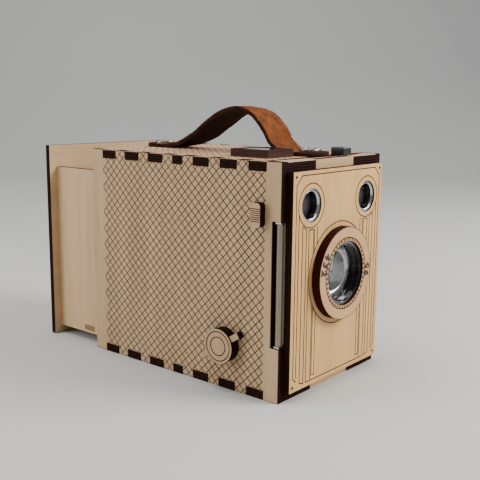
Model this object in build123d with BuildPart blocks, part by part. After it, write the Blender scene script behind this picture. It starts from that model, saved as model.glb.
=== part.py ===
from build123d import *
import os
from math import cos, radians, sin

# Box-form instant camera in laser-cut plywood.  Millimetres, +Z up, front facing -Y.
# Origin: centre of the outer box on the surface that the base rests on.

os.makedirs("parts", exist_ok=True)

# ---- Driving dimensions -------------------------------------------------------
body_width = 81.2          # over both side panels, X
body_depth = 121.0         # side panels, Y
body_height = 106.0        # base to top, Z
ply = 4.2                  # body sheet
plate_ply = 3.45           # decorative front plate sheet
drawer_ply = 3.0           # film drawer sheet

tab_margin = 8.2           # plain strip before the first finger joint
tab_length = 9.5
tab_gap = 6.9
middle_tab_least = 3.0
front_tab_width = 31.0     # tab of the front board in the top and bottom panels

plate_lap = 0.4            # over the front edges of the side panels
engrave_depth = 0.35
engrave_width = 0.5
border_inset = 2.4
border_chamfer = 4.1
corner_pin_inset = 2.2
corner_pin_radius = 0.7

lens_rise = 0.4            # lens axis above the middle of the body
lens_ring_width = 6.75     # from the barrel to the ring's rim
lens_ring_thickness = 4.1
scale_circle_width = 1.75  # from the barrel to the engraved circle
barrel_radius = 14.85
barrel_wall = 1.2
plate_circle_gap = 2.2     # from the ring's rim to the circle on the plate
slide_gap = 0.15           # between the focus ring and the plate it turns on
running_fit = 0.05         # radial, shafts and barrel in their holes
focus_travel = 0.7

finder_spacing = 46.0      # between the two finder axes
finder_drop = 19.4         # finder axes below the top
finder_radius = 7.5
finder_ring_width = 2.25   # from the window to the engraved ring
finder_wall = 0.8
finder_glass_thickness = 2.4
finder_glass_back = 6.2    # glass's flat face behind the plate's face
finder_tube_length = 9.0
finder_tube_inset = 0.4    # tube's front edge behind the plate's face
finder_mirror_width = 16.0
finder_mirror_length = 22.0
finder_mirror_thickness = 1.5
finder_centre_back = 27.4  # finder window centre behind the box's front edges
finder_frame_width = 19.0
finder_frame_length = 21.7
finder_frame_height = 3.6
finder_frame_wall = 2.0
finder_shift = 4.0         # top window's centre, inwards from the finder axis

notch_length = 55.7        # print exit notch in the front edge of the left side
notch_drop = 0.25          # notch centre below the middle of the body
notch_depth = 4.5
roller_radius = 1.4
roller_gap = 0.3           # thickness of a print with room to spare
roller_journal_radius = 0.7
roller_plate = 0.8
roller_end_gap = 0.3
outer_roller_inset = 2.2   # outer roller's axis from the left side's outer face
roller_setback = 1.8       # roller axes behind the box's front edges

slide_setback = 11.1       # shutter slide centre behind the box's front edges
slide_drop = 22.8          # shutter slide centre below the top
slide_width = 5.6
slide_length = 10.6
slide_proud = 3.7
slide_travel = 6.0
slide_rib_pitch = 0.9
slide_rib_depth = 0.35
slide_fit = 0.2
slide_stem_width = 2.4
slide_stem_length = 5.0
slide_corner = 1.7

key_setback = 30.2         # drawer key centre behind the box's front edges
key_height = 21.4
key_radius = 8.1
key_proud = 5.3
key_circle_radius = 4.3    # engraved circles on the key's face
key_rim = 1.3
key_bar_half = 13.0
key_bar_width = 2.8
key_bar_drop = 0.9         # bar face below the disc face
key_bar_angle = 33.0
key_shaft_radius = 2.5
key_gap = 0.15             # under the key's disc
cam_length = 13.0
cam_width = 5.0
cam_thickness = 2.2

drawer_open = 36.0         # how far the drawer stands out in this pose
drawer_gap = 0.4           # between drawer walls and body sides
drawer_wall_drop = 11.7    # left wall's edge below the body's top
drawer_right_height = 60.0
drawer_short = 14.5        # drawer walls shorter than the body
drawer_floor_low = 5.7
drawer_floor_gap = 0.3
drawer_tab_width = 8.4
drawer_tab_first = 24.6    # rearmost tab's centre before the back plate
drawer_tab_pitch = 32.0
drawer_tab_count = 3

cartridge_thickness = 14.0
cartridge_length = 90.0
cartridge_height = 66.0
cartridge_wall = 1.2
frame_width = 62.0         # picture area
frame_height = 46.0

mirror_length = 52.0
mirror_height = 58.0
mirror_thickness = 2.0
mirror_board = 3.0
mirror_overhang = 2.0

button_x = 18.2
button_width = 7.6
button_length = 7.2
button_gap = 0.8           # from the front board to the button
button_height = 3.6
button_travel = 1.5
button_fit = 0.2

strap_width = 18.0
strap_thickness = 2.0
strap_x = 1.9
strap_front_inset = 15.5   # centres of the two rounded strap ends, from the body's ends
strap_rear_inset = 10.0
strap_lift = 9.0           # from a rounded end's centre to where the arch lifts off
rivet_ring_radius = 5.2
rivet_ring_hole = 2.6
rivet_ring_height = 1.3
rivet_head_radius = 2.3
rivet_shank_radius = 1.5

# ---- Derived places ----------------------------------------------------------
side_out = body_width / 2
side_in = side_out - ply
plate_width = 2 * (side_in + plate_lap)
lens_height = body_height / 2 + lens_rise
finder_height = body_height - finder_drop
slide_height = body_height - slide_drop
notch_middle = body_height / 2 - notch_drop
notch_low = notch_middle - notch_length / 2
notch_high = notch_middle + notch_length / 2
lens_ring_radius = barrel_radius + lens_ring_width
scale_circle_radius = barrel_radius + scale_circle_width
plate_circle_radius = lens_ring_radius + plate_circle_gap
finder_ring_radius = finder_radius + finder_ring_width
window_width = finder_frame_width - 2 * finder_frame_wall
window_length = finder_frame_length - 2 * finder_frame_wall
box_front = -body_depth / 2
box_rear = body_depth / 2
board_back = box_front + ply
plate_front = box_front - plate_ply
plate_low = ply + 0.25
plate_high = body_height - ply
plate_middle = (plate_low + plate_high) / 2
inner_height = body_height - 2 * ply
ring_back = plate_front - slide_gap
ring_front = ring_back - lens_ring_thickness
ring_bore = barrel_radius + slide_gap
barrel_hole = barrel_radius + running_fit
barrel_front = ring_front + focus_travel + 0.3
barrel_back = board_back - 1.0
finder_x = finder_spacing / 2
finder_y = box_front + finder_centre_back
roller_y = box_front + roller_setback
outer_roller_x = -side_out + outer_roller_inset
inner_roller_x = outer_roller_x + 2 * roller_radius + roller_gap
slide_y = box_front + slide_setback
key_y = box_front + key_setback
drawer_wall_height = body_height - drawer_wall_drop
drawer_length = body_depth - drawer_short
drawer_back_front = box_rear + drawer_open
drawer_front = drawer_back_front - drawer_length
drawer_out = side_in - drawer_gap
drawer_in = drawer_out - drawer_ply
button_y = box_front + ply + button_gap + button_length / 2
strap_front = box_front + strap_front_inset
strap_rear = box_rear - strap_rear_inset
strap_top = body_height + strap_thickness


def finger_tabs(depth):
    """Centres and lengths of the finger joints along a side, front to rear."""
    pitch = tab_length + tab_gap
    each_side = int((depth / 2 - tab_margin - middle_tab_least / 2) // pitch)
    middle = depth - 2 * (tab_margin + each_side * pitch)
    tabs = [(0.0, middle)]
    for index in range(each_side):
        centre = depth / 2 - tab_margin - tab_length / 2 - index * pitch
        tabs.append((centre, tab_length))
        tabs.append((-centre, tab_length))
    return tabs


# ---- Side panels ------------------------------------------------------------
# The notch in the left side's front edge lets a print out past the rollers.
with BuildPart() as left_side_panel:
    with BuildSketch(Plane.YZ.offset(-side_out)):
        with Locations((0, body_height / 2)):
            Rectangle(body_depth, body_height)
        for centre, length in finger_tabs(body_depth):
            with Locations((centre, ply / 2), (centre, body_height - ply / 2)):
                Rectangle(length, ply, mode=Mode.SUBTRACT)
        with Locations((box_front + notch_depth / 2, notch_middle)):
            Rectangle(notch_depth, notch_high - notch_low, mode=Mode.SUBTRACT)
        with Locations((key_y, key_height)):
            Circle(key_shaft_radius + running_fit, mode=Mode.SUBTRACT)
        with Locations((slide_y, slide_height - slide_travel / 2)):
            Rectangle(slide_stem_width + 2 * slide_fit,
                      slide_stem_length + slide_travel + 2 * slide_fit, mode=Mode.SUBTRACT)
    extrude(amount=ply)
left_side_panel.part.label = "left_side_panel"
export_step(left_side_panel.part, "parts/left_side_panel.step")

with BuildPart() as right_side_panel:
    with BuildSketch(Plane.YZ.offset(side_in)):
        with Locations((0, body_height / 2)):
            Rectangle(body_depth, body_height)
        for centre, length in finger_tabs(body_depth):
            with Locations((centre, ply / 2), (centre, body_height - ply / 2)):
                Rectangle(length, ply, mode=Mode.SUBTRACT)
        with Locations((finder_y, finder_height)):
            Rectangle(window_length, window_width, mode=Mode.SUBTRACT)
    extrude(amount=ply)
right_side_panel.part.label = "right_side_panel"
export_step(right_side_panel.part, "parts/right_side_panel.step")

# ---- Top and bottom panels --------------------------------------------------
with BuildPart() as top_panel:
    with BuildSketch(Plane.XY.offset(body_height - ply)):
        Rectangle(2 * side_in, body_depth)
        for centre, length in finger_tabs(body_depth):
            with Locations((0, centre)):
                Rectangle(body_width, length)
        with Locations((0, box_front + ply / 2)):
            Rectangle(front_tab_width, ply, mode=Mode.SUBTRACT)
        with Locations((finder_shift - finder_x, finder_y)):
            Rectangle(window_width, window_length, mode=Mode.SUBTRACT)
        with Locations((button_x, button_y)):
            Rectangle(button_width + 2 * button_fit, button_length + 2 * button_fit, mode=Mode.SUBTRACT)
        with Locations((strap_x, strap_front), (strap_x, strap_rear)):
            Circle(rivet_shank_radius, mode=Mode.SUBTRACT)
    extrude(amount=ply)
top_panel.part.label = "top_panel"
export_step(top_panel.part, "parts/top_panel.step")

with BuildPart() as bottom_panel:
    with BuildSketch(Plane.XY):
        Rectangle(2 * side_in, body_depth)
        for centre, length in finger_tabs(body_depth):
            with Locations((0, centre)):
                Rectangle(body_width, length)
        with Locations((0, box_front + ply / 2)):
            Rectangle(front_tab_width, ply, mode=Mode.SUBTRACT)
    extrude(amount=ply)
bottom_panel.part.label = "bottom_panel"
export_step(bottom_panel.part, "parts/bottom_panel.step")

# ---- Front board -------------------------------------------------------------
# Carries the lens and shutter, and is cut back at its left edge for the rollers.
board_notch = inner_roller_x + roller_radius + 0.6 + side_in
with BuildPart() as front_board:
    with BuildSketch(Plane.XZ.offset(-board_back)):
        with Locations((0, body_height / 2)):
            Rectangle(2 * side_in, inner_height)
            Rectangle(front_tab_width, body_height)
        with Locations((0, lens_height)):
            Circle(barrel_hole, mode=Mode.SUBTRACT)
        with Locations((-finder_x, finder_height), (finder_x, finder_height)):
            Circle(finder_radius, mode=Mode.SUBTRACT)
        with Locations((-side_in + board_notch / 2, notch_middle)):
            Rectangle(board_notch, notch_high - notch_low, mode=Mode.SUBTRACT)
        with Locations((0, plate_middle)):
            with GridLocations(plate_width - 2 * corner_pin_inset,
                               plate_high - plate_low - 2 * corner_pin_inset, 2, 2):
                Circle(corner_pin_radius, mode=Mode.SUBTRACT)
    extrude(amount=ply)
front_board.part.label = "front_board"
export_step(front_board.part, "parts/front_board.step")

# ---- Decorative front plate ----------------------------------------------------
border_x = plate_width / 2 - border_inset
border_top = plate_high - border_inset + 0.6
border_low = plate_low + border_inset - 0.3
flute_low = border_low
flute_outer_x = (29.4, 26.5)
flute_middle_x = (24.5, 21.0)
flute_inner_x = (20.2, 18.0)
finder_clear = finder_ring_radius + 0.9
corner_slant = 2.6

with BuildPart() as front_plate:
    with BuildSketch(Plane.XZ.offset(-box_front)):
        with Locations((0, plate_middle)):
            Rectangle(plate_width, plate_high - plate_low)
        with Locations((0, lens_height)):
            Circle(barrel_hole, mode=Mode.SUBTRACT)
        with Locations((-finder_x, finder_height), (finder_x, finder_height)):
            Circle(finder_radius, mode=Mode.SUBTRACT)
        with Locations((0, plate_middle)):
            with GridLocations(plate_width - 2 * corner_pin_inset,
                               plate_high - plate_low - 2 * corner_pin_inset, 2, 2):
                Circle(corner_pin_radius, mode=Mode.SUBTRACT)
    extrude(amount=plate_ply)
    # Engraved border, rings and flutes, cut into the face.
    with BuildSketch(Plane.XZ.offset(-plate_front)) as engraving:
        with BuildLine() as lines:
            for side in (-1, 1):
                Line((side * (border_x - border_chamfer), border_top),
                     (side * border_x, border_top - border_chamfer))
                Line((side * border_x, border_top - border_chamfer),
                     (side * border_x, border_low + border_chamfer))
                Line((side * border_x, border_low + border_chamfer),
                     (side * (border_x - corner_slant), border_low + border_chamfer - 2))
                outer, inner = flute_outer_x
                slant = (side * outer, finder_height - 8.4)
                Line((side * (outer + 2.8), finder_height - 1), (side * (outer + 2.8), border_low + 4))
                Line(slant, (side * inner, finder_height - 10.2))
                Line((side * inner, finder_height - 10.2), (side * inner, flute_low))
                Line((side * inner, flute_low), (side * outer, flute_low + 1))
                Line((side * outer, flute_low + 1), slant)
                outer, inner = flute_middle_x
                Line((side * outer, flute_low), (side * outer, finder_height - finder_clear))
                Line((side * outer, finder_height - finder_clear), (side * inner, finder_height - finder_clear))
            Line((-border_x + border_chamfer, border_top), (border_x - border_chamfer, border_top))
            Line((-flute_middle_x[0], flute_low), (flute_middle_x[0], flute_low))
        trace(line_width=engrave_width)
        for side in (-1, 1):
            reach = plate_circle_radius
            inner = flute_middle_x[1]
            rise = (reach ** 2 - inner ** 2) ** 0.5
            with BuildLine() as middle_flutes:
                Line((side * inner, lens_height + rise), (side * inner, finder_height - finder_clear))
                Line((side * inner, lens_height - rise), (side * inner, flute_low))
            trace(line_width=engrave_width)
            for inner in flute_inner_x:
                rise = (reach ** 2 - inner ** 2) ** 0.5
                top = finder_height - (finder_clear ** 2 - (finder_x - inner) ** 2) ** 0.5
                with BuildLine() as inner_flutes:
                    Line((side * inner, lens_height + rise), (side * inner, top))
                    Line((side * inner, lens_height - rise), (side * inner, flute_low + 2.2))
                trace(line_width=engrave_width)
            outer, inner = flute_inner_x
            with BuildLine() as flute_foot:
                Line((side * outer, flute_low + 2.2), (side * inner, flute_low + 2.2))
            trace(line_width=engrave_width)
        with Locations((0, lens_height)):
            Circle(plate_circle_radius + engrave_width / 2)
            Circle(plate_circle_radius - engrave_width / 2, mode=Mode.SUBTRACT)
        with Locations((-finder_x, finder_height), (finder_x, finder_height)):
            Circle(finder_ring_radius + engrave_width / 2)
            Circle(finder_ring_radius - engrave_width / 2, mode=Mode.SUBTRACT)
    extrude(amount=-engrave_depth, mode=Mode.SUBTRACT)
front_plate.part.label = "front_plate"
export_step(front_plate.part, "parts/front_plate.step")

with BuildPart() as front_plate_pins:
    with BuildSketch(Plane.XZ.offset(-board_back)):
        with Locations((0, plate_middle)):
            with GridLocations(plate_width - 2 * corner_pin_inset,
                               plate_high - plate_low - 2 * corner_pin_inset, 2, 2):
                Circle(corner_pin_radius)
    extrude(amount=ply + plate_ply - 0.5)
front_plate_pins.part.label = "front_plate_pins"
export_step(front_plate_pins.part, "parts/front_plate_pins.step")

# ---- Lens: focus ring, barrel, glass ------------------------------------------
with BuildPart() as focus_ring:
    with BuildSketch(Plane.XZ.offset(-ring_back)):
        with Locations((0, lens_height)):
            Circle(lens_ring_radius)
            Circle(ring_bore, mode=Mode.SUBTRACT)
    extrude(amount=lens_ring_thickness)
    with BuildSketch(Plane.XZ.offset(-ring_front)):
        with Locations((0, lens_height)):
            Circle(scale_circle_radius + engrave_width / 2)
            Circle(scale_circle_radius - engrave_width / 2, mode=Mode.SUBTRACT)
    extrude(amount=-engrave_depth, mode=Mode.SUBTRACT)
focus_ring.part.label = "focus_ring"
export_step(focus_ring.part, "parts/focus_ring.step")

glass_radius = barrel_radius - barrel_wall
seat_wall = 1.6
front_glass_back = barrel_front + 6.4
with BuildPart() as lens_barrel:
    with BuildSketch(Plane.XZ.offset(-barrel_back)):
        with Locations((0, lens_height)):
            Circle(barrel_radius)
            Circle(glass_radius, mode=Mode.SUBTRACT)
    extrude(amount=barrel_back - barrel_front)
    with BuildSketch(Plane.XZ.offset(-(front_glass_back + 1.4))):
        with Locations((0, lens_height)):
            Circle(glass_radius)
            Circle(glass_radius - seat_wall, mode=Mode.SUBTRACT)
    extrude(amount=1.4)
lens_barrel.part.label = "lens_barrel"
export_step(lens_barrel.part, "parts/lens_barrel.step")


def glass_disc(name, x, y_back, z, radius, thickness, bulge):
    """Plano-convex glass with its flat face at y_back and its dome towards -Y."""
    edge = thickness - bulge
    sphere_radius = (radius ** 2 + bulge ** 2) / (2 * bulge)
    half_sag = sphere_radius - (sphere_radius ** 2 - (radius / 2) ** 2) ** 0.5
    with BuildPart() as glass:
        with BuildSketch(Plane.XY.offset(z)):
            with BuildLine():
                Line((x, y_back), (x + radius, y_back))
                Line((x + radius, y_back), (x + radius, y_back - edge))
                ThreePointArc(
                    (x + radius, y_back - edge),
                    (x + radius / 2, y_back - thickness + half_sag),
                    (x, y_back - thickness),
                )
                Line((x, y_back - thickness), (x, y_back))
            make_face()
        revolve(axis=Axis((x, 0, z), (0, 1, 0)))
    glass.part.label = name
    export_step(glass.part, "parts/" + name + ".step")


glass_disc("front_lens", 0, front_glass_back, lens_height, glass_radius, 4.6, 2.6)

with BuildPart() as lens_retaining_ring:
    with BuildSketch(Plane.XZ.offset(-(front_glass_back - 2.4))):
        with Locations((0, lens_height)):
            Circle(glass_radius)
            Circle(glass_radius - 1.0, mode=Mode.SUBTRACT)
    extrude(amount=0.9)
lens_retaining_ring.part.label = "lens_retaining_ring"
export_step(lens_retaining_ring.part, "parts/lens_retaining_ring.step")

# ---- Shutter ----------------------------------------------------------------
# A plate with the aperture on the board's back, and one blade that swings behind it.
aperture_radius = 3.6
shutter_plate_thickness = 1.2
shutter_plate_size = 2 * barrel_radius + 8
pivot_x = -13.0
pivot_z = lens_height + 9.0
pivot_radius = 1.2
blade_gap = 0.3
blade_thickness = 0.5
shutter_back = board_back + shutter_plate_thickness
blade_back = shutter_back + blade_gap + blade_thickness
spring_radius = 3.1
spring_wire = 0.5
spring_length = 1.8
spring_back = blade_back + blade_gap + 0.4 + spring_length
spring_leg = 8.5

with BuildPart() as shutter_plate:
    with BuildSketch(Plane.XZ.offset(-shutter_back)):
        with Locations((0, lens_height)):
            RectangleRounded(shutter_plate_size, shutter_plate_size, 3)
            Circle(aperture_radius, mode=Mode.SUBTRACT)
    extrude(amount=shutter_plate_thickness)
shutter_plate.part.label = "shutter_plate"
export_step(shutter_plate.part, "parts/shutter_plate.step")

with BuildPart() as shutter_pivot:
    with BuildSketch(Plane.XZ.offset(-(blade_back + blade_gap))):
        with Locations((pivot_x, pivot_z)):
            Circle(pivot_radius)
    extrude(amount=blade_back + blade_gap - shutter_back)
    with BuildSketch(Plane.XZ.offset(-spring_back)):
        with Locations((pivot_x, pivot_z)):
            Circle(spring_radius - spring_wire - 0.1)
    extrude(amount=spring_back - blade_back - blade_gap)
shutter_pivot.part.label = "shutter_pivot"
export_step(shutter_pivot.part, "parts/shutter_pivot.step")

with BuildPart() as shutter_blade:
    with BuildSketch(Plane.XZ.offset(-blade_back)):
        with Locations((pivot_x, pivot_z)):
            Circle(3.2)
        with Locations((0, lens_height)):
            Circle(aperture_radius + 2.2)
        with BuildLine():
            Polyline(
                (pivot_x - 2, pivot_z - 2.4),
                (pivot_x + 2, pivot_z + 2.4),
                (aperture_radius, lens_height + 4.5),
                (-aperture_radius, lens_height - 4.5),
                close=True,
            )
        make_face()
        with Locations((pivot_x, pivot_z)):
            Circle(pivot_radius + running_fit, mode=Mode.SUBTRACT)
    extrude(amount=blade_thickness)
shutter_blade.part.label = "shutter_blade"
export_step(shutter_blade.part, "parts/shutter_blade.step")

# The ribbed slide on the left side, with a flat arm inside that reaches to the blade.
arm_thickness = 1.0
arm_x = -side_in + slide_fit
stem_top = slide_height + slide_stem_length / 2
arm_low = pivot_z - 2
with BuildPart() as shutter_slide:
    with BuildSketch(Plane.YZ.offset(-side_out - slide_fit)):
        with Locations((slide_y, slide_height)):
            RectangleRounded(slide_width, slide_length, slide_corner)
    extrude(amount=-(slide_proud - slide_fit))
    rib_count = int((slide_length - 2 * slide_corner) / slide_rib_pitch)
    with BuildSketch(Plane.YZ.offset(-side_out - slide_proud)):
        with Locations((slide_y, slide_height)):
            with GridLocations(1, slide_rib_pitch, 1, rib_count):
                Rectangle(slide_width, slide_rib_pitch * 0.45)
    extrude(amount=slide_rib_depth, mode=Mode.SUBTRACT)
    with BuildSketch(Plane.YZ.offset(-side_out - slide_fit)):
        with Locations((slide_y, slide_height)):
            Rectangle(slide_stem_width, slide_stem_length)
    extrude(amount=ply + 2 * slide_fit)
    with BuildSketch(Plane.YZ.offset(arm_x)):
        with Locations((slide_y, (stem_top + arm_low) / 2)):
            Rectangle(4.4, stem_top - arm_low)
    extrude(amount=arm_thickness)
    with BuildSketch(Plane.XY.offset(arm_low)):
        with BuildLine():
            Polyline(
                (arm_x, slide_y - 2.2),
                (arm_x, slide_y + 2.2),
                (arm_x + 12, blade_back + 2.6),
                (pivot_x - 4.6, blade_back + 2.6),
                (pivot_x - 4.6, blade_back + 1.6),
                (arm_x + 11, blade_back + 1.6),
                close=True,
            )
        make_face()
    extrude(amount=2)
shutter_slide.part.label = "shutter_slide"
export_step(shutter_slide.part, "parts/shutter_slide.step")

# The torsion spring's close-wound turns round the pivot, with one leg bent to the plate.
with BuildPart() as shutter_spring:
    with BuildSketch(Plane.XZ.offset(-spring_back)):
        with Locations((pivot_x, pivot_z)):
            Circle(spring_radius)
            Circle(spring_radius - spring_wire, mode=Mode.SUBTRACT)
    extrude(amount=spring_length)
    leg_x = pivot_x - spring_radius + spring_wire / 2
    with BuildSketch(Plane.XZ.offset(-spring_back)):
        with Locations((leg_x, pivot_z + spring_leg / 2)):
            Rectangle(spring_wire, spring_leg)
    extrude(amount=spring_wire)
    with BuildSketch(Plane.XZ.offset(-spring_back)):
        with Locations((leg_x, pivot_z + spring_leg - spring_wire / 2)):
            Rectangle(spring_wire, spring_wire)
    extrude(amount=spring_back - shutter_back)
shutter_spring.part.label = "shutter_spring"
export_step(shutter_spring.part, "parts/shutter_spring.step")

# ---- Finders ------------------------------------------------------------------
for side, word in ((-1, "left"), (1, "right")):
    with BuildPart() as finder_tube:
        with BuildSketch(Plane.XZ.offset(-(plate_front + finder_tube_inset + finder_tube_length))):
            with Locations((side * finder_x, finder_height)):
                Circle(finder_radius)
                Circle(finder_radius - finder_wall, mode=Mode.SUBTRACT)
        extrude(amount=finder_tube_length)
    finder_tube.part.label = word + "_finder_tube"
    export_step(finder_tube.part, "parts/" + word + "_finder_tube.step")
    glass_disc(
        word + "_finder_lens", side * finder_x, plate_front + finder_glass_back, finder_height,
        finder_radius - finder_wall, finder_glass_thickness, 1.2,
    )

mirror_slope = 45.0
left_mirror_plane = Plane(
    origin=(-finder_x, finder_y, finder_height), x_dir=(1, 0, 0), z_dir=(0, -1, 1)
)
with BuildPart() as left_finder_mirror:
    with BuildSketch(left_mirror_plane):
        Rectangle(finder_mirror_width, finder_mirror_length)
    extrude(amount=-finder_mirror_thickness)
left_finder_mirror.part.label = "left_finder_mirror"
export_step(left_finder_mirror.part, "parts/left_finder_mirror.step")

right_mirror_plane = Plane(
    origin=(finder_x, finder_y, finder_height), x_dir=(0, 0, 1), z_dir=(1, -1, 0)
)
with BuildPart() as right_finder_mirror:
    with BuildSketch(right_mirror_plane):
        Rectangle(finder_mirror_width, finder_mirror_length - 3)
    extrude(amount=-finder_mirror_thickness)
right_finder_mirror.part.label = "right_finder_mirror"
export_step(right_finder_mirror.part, "parts/right_finder_mirror.step")

# A cheek under the top panel holds the left mirror, and a shelf on the right side the other.
cheek_thickness = 1.8
finder_box_back = finder_y + finder_mirror_length / 2 * sin(radians(mirror_slope)) + 1.6
cheek_x = -finder_x + finder_mirror_width / 2
cheek_low = finder_height - finder_mirror_width / 2 - cheek_thickness
with BuildPart() as left_finder_cheek:
    with BuildSketch(Plane.YZ.offset(cheek_x)):
        with Locations(((board_back + finder_box_back) / 2, (cheek_low + plate_high) / 2)):
            Rectangle(finder_box_back - board_back, plate_high - cheek_low)
    extrude(amount=cheek_thickness)
left_finder_cheek.part.label = "left_finder_cheek"
export_step(left_finder_cheek.part, "parts/left_finder_cheek.step")

shelf_left = finder_x - finder_mirror_width / 2 - 1
with BuildPart() as right_finder_shelf:
    with BuildSketch(Plane.XY.offset(finder_height - finder_mirror_width / 2 - cheek_thickness)):
        with Locations(((shelf_left + side_in) / 2, (board_back + finder_box_back) / 2)):
            Rectangle(side_in - shelf_left, finder_box_back - board_back)
    extrude(amount=cheek_thickness)
right_finder_shelf.part.label = "right_finder_shelf"
export_step(right_finder_shelf.part, "parts/right_finder_shelf.step")

window_glass = 2.0
top_window = (finder_shift - finder_x, finder_y)
with BuildPart() as top_finder_frame:
    with BuildSketch(Plane.XY.offset(body_height)):
        with Locations(top_window):
            Rectangle(finder_frame_width, finder_frame_length)
            Rectangle(window_width, window_length, mode=Mode.SUBTRACT)
    extrude(amount=finder_frame_height)
top_finder_frame.part.label = "top_finder_frame"
export_step(top_finder_frame.part, "parts/top_finder_frame.step")

with BuildPart() as top_finder_glass:
    with BuildSketch(Plane.XY.offset(body_height + finder_frame_height - window_glass - 0.2)):
        with Locations(top_window):
            Rectangle(window_width, window_length)
    extrude(amount=window_glass)
top_finder_glass.part.label = "top_finder_glass"
export_step(top_finder_glass.part, "parts/top_finder_glass.step")

with BuildPart() as side_finder_frame:
    with BuildSketch(Plane.YZ.offset(side_out)):
        with Locations((finder_y, finder_height)):
            Rectangle(finder_frame_length, finder_frame_width)
            Rectangle(window_length, window_width, mode=Mode.SUBTRACT)
    extrude(amount=finder_frame_height)
side_finder_frame.part.label = "side_finder_frame"
export_step(side_finder_frame.part, "parts/side_finder_frame.step")

with BuildPart() as side_finder_glass:
    with BuildSketch(Plane.YZ.offset(side_out + finder_frame_height - window_glass - 0.2)):
        with Locations((finder_y, finder_height)):
            Rectangle(window_length, window_width)
    extrude(amount=window_glass)
side_finder_glass.part.label = "side_finder_glass"
export_step(side_finder_glass.part, "parts/side_finder_glass.step")

# ---- Rollers in the exit notch ------------------------------------------------
roller_low = notch_low + roller_plate + roller_end_gap
roller_high = notch_high - roller_plate - roller_end_gap
for x, word in ((outer_roller_x, "outer"), (inner_roller_x, "inner")):
    with BuildPart() as roller:
        with BuildSketch(Plane.XY.offset(roller_low)):
            with Locations((x, roller_y)):
                Circle(roller_radius)
        extrude(amount=roller_high - roller_low)
        with BuildSketch(Plane.XY.offset(notch_low + 0.05)):
            with Locations((x, roller_y)):
                Circle(roller_journal_radius)
        extrude(amount=notch_high - notch_low - 0.1)
    roller.part.label = word + "_roller"
    export_step(roller.part, "parts/" + word + "_roller.step")

plate_left = outer_roller_x - roller_radius
plate_right = -side_in + board_notch
for z, word in ((notch_low, "lower"), (notch_high - roller_plate, "upper")):
    with BuildPart() as roller_bearing:
        with BuildSketch(Plane.XY.offset(z)):
            with Locations(((plate_left + plate_right) / 2, roller_y)):
                Rectangle(plate_right - plate_left, 2 * roller_radius)
            with Locations((outer_roller_x, roller_y), (inner_roller_x, roller_y)):
                Circle(roller_journal_radius + running_fit, mode=Mode.SUBTRACT)
        extrude(amount=roller_plate)
    roller_bearing.part.label = word + "_roller_bearing"
    export_step(roller_bearing.part, "parts/" + word + "_roller_bearing.step")

# ---- Drawer key -----------------------------------------------------------------
# A turned disc with a cross bar outside, and a cam inside that holds the drawer shut.
key_face = -side_out - key_proud
with BuildPart() as drawer_key:
    with BuildSketch(Plane.YZ.offset(-side_out - key_gap)):
        with Locations((key_y, key_height)):
            Circle(key_radius)
    extrude(amount=-(key_proud - key_gap))
    for circle in (key_circle_radius, key_radius - key_rim):
        with BuildSketch(Plane.YZ.offset(key_face)):
            with Locations((key_y, key_height)):
                Circle(circle + engrave_width / 2)
                Circle(circle - engrave_width / 2, mode=Mode.SUBTRACT)
        extrude(amount=engrave_depth, mode=Mode.SUBTRACT)
drawer_key.part.label = "drawer_key"
export_step(drawer_key.part, "parts/drawer_key.step")

with BuildPart() as key_bar:
    with BuildSketch(Plane.YZ.offset(-side_out - 0.9)):
        with Locations(Location((key_y, key_height), -key_bar_angle)):
            Rectangle(2 * key_bar_half, key_bar_width)
        with Locations((key_y, key_height)):
            Circle(key_radius, mode=Mode.SUBTRACT)
    extrude(amount=-(key_proud - key_bar_drop - 0.9))
key_bar.part.label = "key_bar"
export_step(key_bar.part, "parts/key_bar.step")

with BuildPart() as key_shaft:
    with BuildSketch(Plane.YZ.offset(-side_out - key_gap)):
        with Locations((key_y, key_height)):
            Circle(key_shaft_radius)
    extrude(amount=key_gap + ply + 0.3)
key_shaft.part.label = "key_shaft"
export_step(key_shaft.part, "parts/key_shaft.step")

cam_x = -side_in + 0.3
with BuildPart() as key_cam:
    with BuildSketch(Plane.YZ.offset(cam_x)):
        with Locations((key_y, key_height)):
            SlotOverall(cam_length, cam_width)
    extrude(amount=cam_thickness)
key_cam.part.label = "key_cam"
export_step(key_cam.part, "parts/key_cam.step")

# ---- Film drawer ------------------------------------------------------------------
# The left wall's slot lets the key's cam through, and its wide end takes the cam turned.
wall_low = ply + drawer_floor_gap
cam_slot_y = key_y + drawer_open
cam_room = 0.8             # round the cam in the wall's slot
drawer_tabs = [
    drawer_back_front - drawer_tab_first - index * drawer_tab_pitch
    for index in range(drawer_tab_count)
]
with BuildPart() as drawer_left_wall:
    with BuildSketch(Plane.YZ.offset(-drawer_out)):
        with Locations(((drawer_front + drawer_back_front) / 2, (wall_low + drawer_wall_height) / 2)):
            Rectangle(drawer_length, drawer_wall_height - wall_low)
        with Locations(((drawer_front + cam_slot_y) / 2, key_height)):
            Rectangle(cam_slot_y - drawer_front, cam_width + 2 * cam_room, mode=Mode.SUBTRACT)
        with Locations((cam_slot_y, key_height)):
            Rectangle(cam_length + 2 * cam_room, cam_length + 2 * cam_room, mode=Mode.SUBTRACT)
        for tab_y in drawer_tabs:
            with Locations((tab_y, drawer_floor_low + drawer_ply / 2)):
                Rectangle(drawer_tab_width, drawer_ply, mode=Mode.SUBTRACT)
    extrude(amount=drawer_ply)
drawer_left_wall.part.label = "drawer_left_wall"
export_step(drawer_left_wall.part, "parts/drawer_left_wall.step")

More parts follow.
